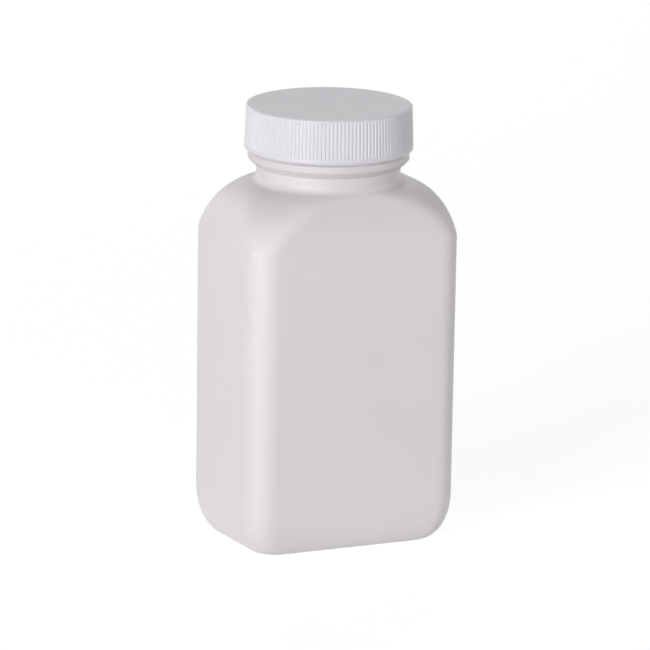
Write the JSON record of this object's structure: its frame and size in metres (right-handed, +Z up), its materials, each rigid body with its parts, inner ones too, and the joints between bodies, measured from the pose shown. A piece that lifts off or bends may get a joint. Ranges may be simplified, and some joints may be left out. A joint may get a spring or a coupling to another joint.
{
  "type": "rectangular wide-mouth media bottle",
  "caption": "Rectangular blown plastic media bottle with a round wide-mouth neck and a fine-ribbed screw cap with a foam liner.",
  "frame": {"origin": "centre of the bottle's plan outline, on the plane that it stands on", "axes": "+Z up along the neck's axis, +X along the wide faces, +Y through the wide faces"},
  "size_m": [0.076, 0.0562, 0.1472],
  "materials": {
    "natural_hdpe": "milky translucent, satin",
    "white_polypropylene": "satin",
    "foam_liner": "matt"
  },
  "bodies": {
    "bottle": {"bottle": "natural_hdpe"},
    "liner": {"cap_liner": "foam_liner"},
    "cap": {"cap": "white_polypropylene"}
  },
  "joints": [
    {"name": "cap_lift", "type": "slide", "parent": "bottle", "child": "liner", "axis": [0, 0, 1], "range_m": [0, 0.0054]},
    {"name": "cap_turn", "type": "hinge", "parent": "liner", "child": "cap", "pos_m": [0, 0, 0.14], "axis": [0, 0, 1], "range_deg": [0, 450]}
  ],
  "couplings": [
    {"joint": "cap_lift", "follows": "cap_turn", "m_per_rad": 0.00067376}
  ]
}
